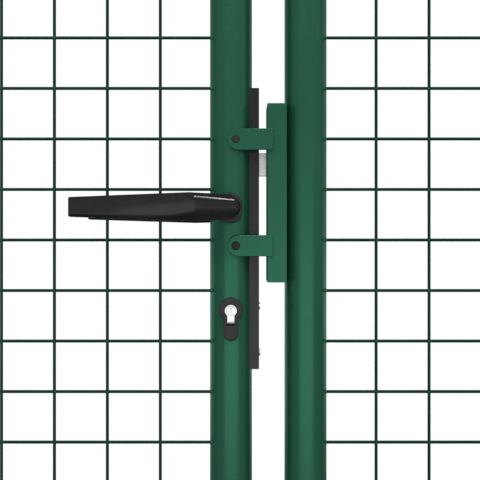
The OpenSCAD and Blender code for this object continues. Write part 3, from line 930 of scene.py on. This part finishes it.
def saddled(centre, outline, hole, face, facing, crown):
    """Rows of an outline at growing height: tube surface, side, quarter-round edge, then in
    to the hole over a face that is crown higher at the hole than at the edge."""
    angle = even_angles(outline, 192)
    rim, inner = ring_of(angle, outline), ring_of(angle, hole)
    side = face - crown - EDGE_ROUND
    rows = [(rim, tube_depth(rim)), (rim, side)]
    for turn in np.linspace(0, np.pi / 2, 6)[1:]:
        inset = EDGE_ROUND * (1 - np.cos(turn))
        rows.append((ring_of(angle, outline, inset), side + EDGE_ROUND * np.sin(turn)))
    edge = rows[-1][0]
    for share in np.linspace(0, 1, 8)[1:-1]:
        rows.append((edge + share * (inner - edge), face - crown * (1 - share) ** 2))
    rows += [(ring_of(angle, hole, -LIP), face), (inner, face - LIP), (inner, tube_depth(inner))]
    return facing_grid(*stacked(rows), centre, facing)


rose_half, _, rose_rise = half("front_rose")
rose_outline = [
    ("round", 0, rose_rise - rose_half, rose_half), ("round", 0, rose_half - rose_rise, rose_half),
    ("bar", rose_half, rose_half - rose_rise, rose_rise - rose_half),
]
NECK_HOLE = [("round", 0, 0, 8.05 * MM)]
spindle_centre = (lock_x, spindle_at[2])
plate_face = -box("front_rose")[0][1]
for name, facing in FACES.items():
    rose = saddled(spindle_centre, rose_outline, NECK_HOLE, plate_face, facing, 0.5 * MM)
    add_piece(name + "_rose_moulding", [(rose, "ring")],
              "black_plastic", "left_leaf", [name + "_rose"])

# %% Key plates
TONGUE_HALF = 7.25 * MM
FOOT_HALF, FOOT_REACH = 3.8 * MM, 0.8 * MM
ROOM, GAP_BELOW = 0.2 * MM, 1.6 * MM
low, high = box("front_key_plate")
head_r = half("front_key_plate")[0]
key_at = (lock_x, high[2] - head_r)
tongue_low = low[2] - key_at[1] + TONGUE_HALF
plate_outline = [
    ("round", 0, 0, head_r), ("bar", TONGUE_HALF, tongue_low, TONGUE_HALF),
    ("round", 0, tongue_low, TONGUE_HALF),
]
low, high = box("key_cylinder")
barrel_r = half("key_cylinder")[0]
barrel_z = high[2] - barrel_r
foot_z = low[2] - FOOT_REACH
key_hole = [
    ("round", 0, barrel_z - key_at[1], barrel_r + ROOM),
    ("bar", FOOT_HALF + ROOM, foot_z - GAP_BELOW - key_at[1], MM),
]
for name, facing in FACES.items():
    plate = saddled(key_at, plate_outline, key_hole, plate_face, facing, 0.3 * MM)
    add_piece(name + "_key_plate_moulding", [(plate, "ring")],
              "black_plastic", "left_leaf", [name + "_key_plate"])

# %% [markdown]
# ## Key cylinder
# The cylinder is a brass profile under nickel: a round head over a narrower foot. Its face
# is a polar grid again. The plug that turns with the key shows as a fine ring, and the
# keyway is a slot in the plug. A black wall of the case closes the lock below the foot, so
# that no light comes through from behind. It is also a dark piece set behind the gap under
# the foot: painted shade that makes the slit read dark.

# %% Key cylinder
PLUG_R = 4.4 * MM
POLAR_R = 5 * MM
RIM_BREAK = 0.3 * MM
GROOVE_DEPTH, KEYWAY_DEPTH = 0.12 * MM, 0.8 * MM


def cylinder_end(facing, reach_y):
    """Depth = a fine groove at the plug's radius + a slot where |x| < 0.5 mm. The rim is
    broken."""
    outline = [("round", 0, 0, barrel_r), ("bar", FOOT_HALF, foot_z - barrel_z, MM)]
    angle = even_angles(outline, 160)
    rim = ring_of(angle, outline)
    inner = ring_of(angle, outline, RIM_BREAK)
    plug = np.stack([np.cos(angle), np.sin(angle)])
    rows = [(rim, 0), (rim, reach_y - RIM_BREAK), (inner, reach_y)]
    rows += [(inner + share * (POLAR_R * plug - inner), reach_y) for share in (0.35, 0.7, 1)]
    rows += [(r * MM * plug, reach_y) for r in np.linspace(4.9, 0.1, 34)]
    x, y, z = stacked(rows)
    groove = 1 - soft_step(np.abs(np.hypot(x, z) - PLUG_R), 0.06 * MM, 0.2 * MM)
    slot = 1 - soft_step(np.abs(x), 0.4 * MM, 0.6 * MM)
    slot *= 1 - soft_step(np.abs(z + 0.2 * MM), 2.7 * MM, 3.0 * MM)
    y[3:] -= (GROOVE_DEPTH * groove + KEYWAY_DEPTH * slot)[3:]
    return facing_grid(x, y, z, (lock_x, barrel_z), facing)


ends = [(cylinder_end(-1, -low[1]), "ends"), (cylinder_end(1, high[1]), "ends")]
add_piece("key_cylinder_turned", ends, "lock_steel", "left_leaf", ["key_cylinder"], 50)

# %% Case wall under the cylinder, which also paints the slit's shade
# A black wall behind the gap below the foot: partly the case, partly painted shade that makes the
# slit read dark.
WALL_T = 2.9 * MM
WALL_SET_BACK = 2.5 * MM
wall_x = lock_x + FOOT_HALF * np.array([1, 1, -1, -1])
wall_z = foot_z - ROOM - WALL_T * np.array([1, 0, 0, 1])
wall_y = np.array([[1], [-1]]) * (tube_r - WALL_SET_BACK)
wall = points_of(wall_x, wall_y, wall_z)
add_piece("case_wall_below_cylinder", [(wall, "ends")], "black_coat", "left_leaf")

# %% [markdown]
# ## Lever handles
# The lever is one moulding with a round end at the hub. From the front it is an outline:
# a half circle at the hub, then two straight edges that come together towards the tip.
# Its front is a height over that outline. A blunt crease runs from the upper shoulder
# down to the hub, and the surface above it leans back. Below it the face is nearly flat
# down to a bend, and turns under from there. The lower edge is rounded more and more
# towards the hub. The back lever is the same shape mirrored.

# %% Lever outline
LEVER_T = 10 * MM
LEVER_BACK = lever_front - LEVER_T
HUB_R, HUB_BACK = 12 * MM, 3.4 * MM
tip_x = box("front_lever")[0][0] - lock_x
TIP_Z = (-9.4 * MM, 9.2 * MM)
TIP_CORNER = 1.5 * MM
SHOULDER_X, SHOULDER_Z = -38 * MM, (-13 * MM, 13.7 * MM)


def lever_edge(x, edge):
    """Height of the upper (edge 1) or lower (edge 0) outline at x: straight lines from tip
    to shoulder to hub, then the hub's circle."""
    sign = 2 * edge - 1
    heights = [TIP_Z[edge], SHOULDER_Z[edge], sign * HUB_R]
    straight = np.interp(x, [tip_x, SHOULDER_X, -HUB_BACK], heights)
    circle = sign * np.sqrt(np.clip(HUB_R ** 2 - (x + HUB_BACK) ** 2, 0, None))
    return np.where(x > -HUB_BACK, circle, straight)


def lever_middle(x):
    """Height half way between the two edges at x."""
    return (lever_edge(x, 0) + lever_edge(x, 1)) / 2


def lever_rim(count):
    """Points of the closed outline, equally spaced, anticlockwise seen from the front, with
    rounded corners at the tip."""
    turn = np.linspace(-np.pi / 2, np.pi / 2, 200)
    hub = np.stack([HUB_R * np.cos(turn) - HUB_BACK, HUB_R * np.sin(turn)], 1)
    quarter = np.linspace(0, np.pi / 2, 12)
    small, large = TIP_CORNER * (1 - np.cos(quarter)), TIP_CORNER * (1 - np.sin(quarter))
    upper = np.stack([tip_x + large, TIP_Z[1] - small], 1)
    lower = np.stack([tip_x + small, TIP_Z[0] + large], 1)
    outline = np.vstack([
        hub, [(SHOULDER_X, SHOULDER_Z[1])], upper, lower, [(SHOULDER_X, SHOULDER_Z[0])], hub[:1],
    ])
    way = way_along(outline)
    at = np.linspace(0, way[-1], count, endpoint=False)
    return np.stack([np.interp(at, way, outline[:, 0]), np.interp(at, way, outline[:, 1])])


# %% Lever front
CREASE_X, CREASE_Z = (-34 * MM, 8.6 * MM), (10.6 * MM, 6.4 * MM)
CREASE_BLEND = (4.4 * MM, 2.6 * MM)  # how wide the crease is rounded at each end
LEAN = math.tan(math.radians(46))
LEAN_FROM, LEAN_TO, LEAN_DROP = -44 * MM, -33 * MM, 6 * MM
BEND_X, BEND_SHARE, BEND_CLIMB = -130 * MM, 0.83, 32
HOLLOW, HOLLOW_FROM, HOLLOW_TO = 0.04, -122 * MM, -68 * MM
BITE, BITE_X = (0.3, 0.1), (-135 * MM, -55 * MM)
CURL = 0.3
HUB_FROM, HUB_TO = -36 * MM, -31 * MM
HUB_SHARE, HUB_BITE, HUB_CURL = 0.52, 0.24, 0.14


def smooth_larger(a, b, blend):
    """Larger of two heights, rounded where they cross over about the blend length."""
    gap = np.clip(blend - np.abs(a - b), 0, None)
    return np.maximum(a, b) + gap * gap / (4 * blend)


def front_set_back(x, z):
    """How far the front lies behind its foremost plane: the larger of a surface that leans
    back above the crease and a face that falls away downwards. Share is the way down from
    the upper edge. The face falls slightly, as ratio to the power 4.5, down to the bend.
    Past the bend it turns under, as past and past squared. The bend is lowest near the tip
    and climbs as x squared towards the hub, where a plainer face takes over."""
    slope = (CREASE_Z[1] - CREASE_Z[0]) / (CREASE_X[1] - CREASE_X[0])
    above = LEAN * (z - CREASE_Z[0] - slope * (x - CREASE_X[0]))
    above -= LEAN_DROP * (1 - soft_step(x, LEAN_FROM, LEAN_TO))
    top, bottom = lever_edge(x, 1), lever_edge(x, 0)
    height = np.maximum(top - bottom, MM)
    share = np.clip((top - z) / height, 0, 1)
    bend = BEND_SHARE - BEND_CLIMB * (x - BEND_X) ** 2
    ratio = share / bend
    past = np.clip(ratio - 1, 0, None)
    hollow = HOLLOW * soft_step(x, HOLLOW_FROM, HOLLOW_TO) * np.minimum(ratio, 1) ** 4.5
    bite = np.interp(x, BITE_X, BITE) * past
    grip = height * bend * (hollow + bite + CURL * past ** 2)
    below = np.clip(share - HUB_SHARE, 0, 1)
    hub = height * (HUB_BITE * below + HUB_CURL * below ** 2)
    face = grip + (hub - grip) * soft_step(x, HUB_FROM, HUB_TO)
    return smooth_larger(face, above, np.interp(x, CREASE_X, CREASE_BLEND))


# %% Lever solid
def edge_round(rim):
    """Width of the rounded front edge: 0.8 mm along the top and the tip, up to 2.4 mm along
    the bottom, and up to 5 mm round the hub's end."""
    x, z = rim
    bottom = 0.8 + 1.6 * soft_step(x, -150 * MM, -40 * MM)
    turn = np.degrees(np.arctan2(z, x + HUB_BACK))
    round_end = 5 - 4.2 * soft_step(turn, 20, 75) - 2.6 * soft_step(-turn, 20, 85)
    straight = np.where(z < lever_middle(x), bottom, 0.8)
    width = np.where(x > -HUB_BACK, round_end, straight)
    return MM * np.where(x < tip_x + 2 * MM, 0.8, width)


def lever_grid(facing):
    """Rows step in from the back's middle to its rim, up the side, over the rounded front
    edge and in to the spine of the front."""
    rim = lever_rim(420)
    spine_x = np.clip(rim[0], tip_x + 6 * MM, -HUB_BACK)
    inwards = np.stack([spine_x, lever_middle(spine_x)]) - rim
    depth = np.hypot(*inwards)
    back_round, front_round = 1.2 * MM, edge_round(rim)
    rows = [(rim + inwards, LEVER_BACK), (rim + inwards * 3 * MM / depth, LEVER_BACK)]
    for turn in np.linspace(0, np.pi / 2, 7):
        flat = rim + inwards * back_round * (1 - np.sin(turn)) / depth
        rows.append((flat, LEVER_BACK + back_round * (1 - np.cos(turn))))
    for turn in np.linspace(0, np.pi / 2, 13):
        flat = rim + inwards * front_round * (1 - np.cos(turn)) / depth
        fall = front_round * (1 - np.sin(turn))
        rows.append((flat, lever_front - smooth_larger(front_set_back(*flat), fall, 0.2 * MM)))
    start = front_round / depth
    for share in np.linspace(0, 1, 40)[1:]:
        flat = rim + inwards * (start + share * (1 - start))
        rows.append((flat, lever_front - front_set_back(*flat)))
    return facing_grid(*stacked(rows), spindle_centre, facing)


NECK_R, NECK_END, FILLET = 8 * MM, 13 * MM, 1.6 * MM


def lever_neck(facing):
    """A round neck with a small fillet where it meets the lever's back, ending inside the
    rose."""
    turn = np.linspace(0, np.pi / 2, 6)
    flare = np.stack([
        NECK_R + FILLET * (1 - np.cos(turn)), LEVER_BACK - FILLET * (1 - np.sin(turn))
    ], 1)
    profile = np.vstack([[(0, NECK_END), (NECK_R, NECK_END)], flare, [(0, LEVER_BACK + MM)]])
    grid = turned(profile, [0, 0, 0], "y", 64)
    grid[..., 1] *= facing
    grid += [lock_x, 0, spindle_at[2]]
    return grid if facing > 0 else grid[:, ::-1]


for name, facing in FACES.items():
    add_piece(name + "_lever_moulding", [(lever_grid(facing), None), (lever_neck(facing), None)],
              "lever_black", "handle", [name + "_lever"], 60)

# %% [markdown]
# ## Keep, stop tabs and buffers
# The keep is a box folded from sheet, so its edges are a little round. The tabs are
# punched from flat bar, and each holds a rubber plug with a domed end. The plug is a
# turned shape that runs through the tab and stops just short of the stile.

# %% Keep and tabs
dressed("keep_box", "green_coat", "right_leaf", 0.7 * MM, 3)
dressed("upper_stop_tab", "green_coat", "right_leaf", 0.8 * MM, 3)
dressed("lower_stop_tab", "green_coat", "right_leaf", 0.8 * MM, 3)

# %% Buffers
low, high = box("stop_buffers")
plug_r, plug_x = half("stop_buffers")[0], middle("stop_buffers")[0]
tab_front = box("upper_stop_tab")[0][1]
front_y, back_y = low[1], high[1]
profile = [
    (0, back_y), (plug_r - 1.0 * MM, back_y), (plug_r - 0.3 * MM, back_y - 0.4 * MM),
    (plug_r, back_y - 1.2 * MM), (plug_r, tab_front + 0.1 * MM),
    (plug_r, tab_front - 0.25 * MM), (plug_r - 0.35 * MM, front_y + 0.15 * MM),
    (plug_r - 1.0 * MM, front_y), (0.6 * plug_r, front_y + 0.05 * MM),
    (0.3 * plug_r, front_y + 0.2 * MM), (0, front_y + 0.25 * MM),
]
plugs = [
    (turned(profile, [plug_x, 0, z], "y", 48)[:, ::-1], None)
    for z in (low[2] + plug_r, high[2] - plug_r)
]
add_piece("buffer_plugs", plugs, "buffer_rubber", "right_leaf", ["stop_buffers"])

# %% [markdown]
# ## Drop bolt
# The passive leaf has a drop bolt on the far side. It is a plain round rod that is bent
# over into a handle. Its path is a line, a quarter circle and a line, and the radius
# closes at both ends for the broken edges.

# %% Drop bolt rod
ROD_BEND = 11 * MM
low, high = box("drop_bolt")
rod_r, rod_y = half("drop_bolt")[1], middle("drop_bolt")[1]
rod_x, arm_z = low[0] + rod_r, high[2] - rod_r
turn = np.linspace(np.pi, np.pi / 2, 17)
arc_x, arc_z = ROD_BEND * (1 + np.cos(turn)), ROD_BEND * (np.sin(turn) - 1)
lift = np.array([0, 0.4, 1.2, 2.5, 60, 200]) * MM
shrink = np.array([2.4, 1.1, 0]) * MM
path = points_of(
    np.concatenate([np.full(6, rod_x), rod_x + arc_x, high[0] - shrink]), rod_y,
    np.concatenate([low[2] + lift, arm_z + arc_z, np.full(3, arm_z)]),
)
radius = np.full(len(path), rod_r)
radius[:3] -= np.array([2, 0.9, 0.25]) * MM
radius[-2:] -= np.array([0.5, 2]) * MM
add_piece("drop_bolt_rod", [(run_along(path, [0, 1, 0], radius, 48), "ends")],
          "zinc_steel", "right_leaf", ["drop_bolt"])

# %% Guides and their beads
GUIDE_H = 30 * MM
dressed("drop_bolt_guides", "green_coat", "right_leaf", 0.8 * MM, 3)
low, high = box("drop_bolt_guides")
grids = [
    upright_bead(rod_x + face * STRAP_HALF, strap_foot, z, GUIDE_H, [face, 1, 0], 70)
    for z in (low[2], high[2] - GUIDE_H) for face in (-1, 1)
]
add_piece("guide_welds", grids, "green_coat", "right_leaf")

# %% [markdown]
# ## Studio
# The gate stands on a pale floor in a white room. Three wide soft boxes stand in front,
# one above the other, and draw the long highlights on the tubes. The lowest is by far the
# brightest. A small key lamp lights the lever's crease, and a lamp from the left gives the
# tabs their shadow. Rays that look at the backdrop see white. All other rays see the
# studio's greys, with a floor that is darker near the gate and a room that is paler to the
# right.

# %% Two looks for two kinds of ray
WHITE = (1, 1, 1, 1)


def backdrop_or_studio(tree, behind, studio, backdrop, output):
    """Rays from the camera, through glass, or mirrored towards what is behind the gate see
    the backdrop. The others see the studio."""
    kinds = add_node(tree, "ShaderNodeLightPath").outputs
    mirrored = combine(tree, "MULTIPLY", kinds["Is Glossy Ray"], behind)
    direct = combine(tree, "MAXIMUM", kinds["Is Camera Ray"], kinds["Is Transmission Ray"])
    seen = combine(tree, "MAXIMUM", direct, mirrored)
    mixed = add_node(tree, "ShaderNodeMixShader", {0: seen, 1: studio, 2: backdrop}).outputs[0]
    add_node(tree, output, {"Surface": mixed})


def shader_node(tree, kind, **inputs):
    """The output of one shader node."""
    return add_node(tree, kind, inputs).outputs[0]


def emptied(owner):
    """Empties a material's or a world's nodes, to build it from nothing."""
    owner.use_nodes = True
    owner.node_tree.nodes.clear()
    return owner.node_tree


# %% Floor
FLOOR_HALF = 30.0
mid_x = (cad_bounds[0][0] + cad_bounds[1][0]) / 2
corners = [
    (mid_x + x * FLOOR_HALF, y * FLOOR_HALF, 0) for x, y in ((-1, -1), (1, -1), (1, 1), (-1, 1))
]
floor_mesh = bpy.data.meshes.new("floor")
floor_mesh.from_pydata(corners, [], [(0, 1, 2, 3)])
floor = show("studio_floor", floor_mesh)
material = bpy.data.materials.new("studio_floor")
floor_mesh.materials.append(material)
tree = emptied(material)
where = add_node(tree, "ShaderNodeTexCoord").outputs["Object"]
behind = between(tree, parts_of(tree, where)["Y"], 0, 1, 1.5, 3.0)
to_lock = {0: where, 1: (lock_x, 0, 0)}
distance = add_node(tree, "ShaderNodeVectorMath", to_lock, operation="DISTANCE").outputs["Value"]
darker_near = between(tree, distance, 0.22, 0.75, 1.0, 2.0)
lit = shader_node(tree, "ShaderNodeBsdfDiffuse", Color=darker_near)
faint = shader_node(tree, "ShaderNodeBsdfDiffuse", Color=(0.35, 0.35, 0.35, 1))
glow = shader_node(tree, "ShaderNodeEmission", Color=WHITE, Strength=0.86)
bright = add_node(tree, "ShaderNodeAddShader", {0: faint, 1: glow}).outputs[0]
backdrop_or_studio(tree, behind, lit, bright, "ShaderNodeOutputMaterial")

# %% World
world = bpy.data.worlds.new("studio")
bpy.context.scene.world = world
tree = emptied(world)
parts = parts_of(tree, add_node(tree, "ShaderNodeTexCoord").outputs["Generated"])
behind = between(tree, parts["Y"], 0, 1, 0.75, 1.0)
paler_right = between(tree, parts["X"], 0.40, 0.56, 0.2, 0.9)
grey = shader_node(tree, "ShaderNodeBackground", Color=WHITE, Strength=paler_right)
white = shader_node(tree, "ShaderNodeBackground", Color=WHITE, Strength=1.0)
backdrop_or_studio(tree, behind, grey, white, "ShaderNodeOutputWorld")

# %% Lamps
def soft_box(name, centre, width, height, aim, radiance):
    """A rectangle of light. Its power in watts is radiance x pi x area."""
    lamp = bpy.data.lights.new(name, "AREA")
    lamp.shape = "RECTANGLE"
    lamp.size, lamp.size_y = width, height
    lamp.energy = radiance * math.pi * width * height
    holder = show(name, lamp)
    holder.location = centre
    direction = Vector(aim) - Vector(centre)
    holder.rotation_euler = direction.to_track_quat("-Z", "Y").to_euler()
    holder.visible_camera = False
    print(name, round(lamp.energy, 2), "W")


box_x = lock_x + 0.15
soft_box("low_front_box", (box_x, -1.7, 0.38), 2.6, 0.72, (box_x, 0, 0.38), 0.90)
soft_box("middle_front_box", (box_x, -1.7, 0.90), 2.6, 0.32, (box_x, 0, 0.90), 0.17)
soft_box("high_front_box", (lock_x + 0.2, -1.9, 2.2), 3.0, 1.3, (lock_x, 0, 0.9), 0.26)
soft_box("key_lamp", (lock_x + 0.10, -1.41, 2.23), 0.16, 0.5, (lock_x, 0, 0.76), 26)
soft_box("left_lamp", (lock_x - 0.9, -1.41, 2.0), 0.16, 0.16, (lock_x, 0, 0.76), 48)

# %% [markdown]
# ## Camera
# A camera stands square to the gate at the height of the lock, 0.9 m away, with a short
# telephoto lens. Depth of field stays off.

# %% Camera
LENS = 67.6
CAMERA_AWAY, CAMERA_ASIDE = 0.9, 8.93 * MM
camera_data = bpy.data.cameras.new("gate_camera")
camera_data.lens = LENS
camera_data.sensor_width = 36
camera = show("gate_camera", camera_data)
camera.location = (lock_x + CAMERA_ASIDE, -CAMERA_AWAY, lock_mid)
camera.rotation_euler = (math.pi / 2, 0, 0)
bpy.context.scene.camera = camera
bpy.context.scene.view_settings.view_transform = "Standard"
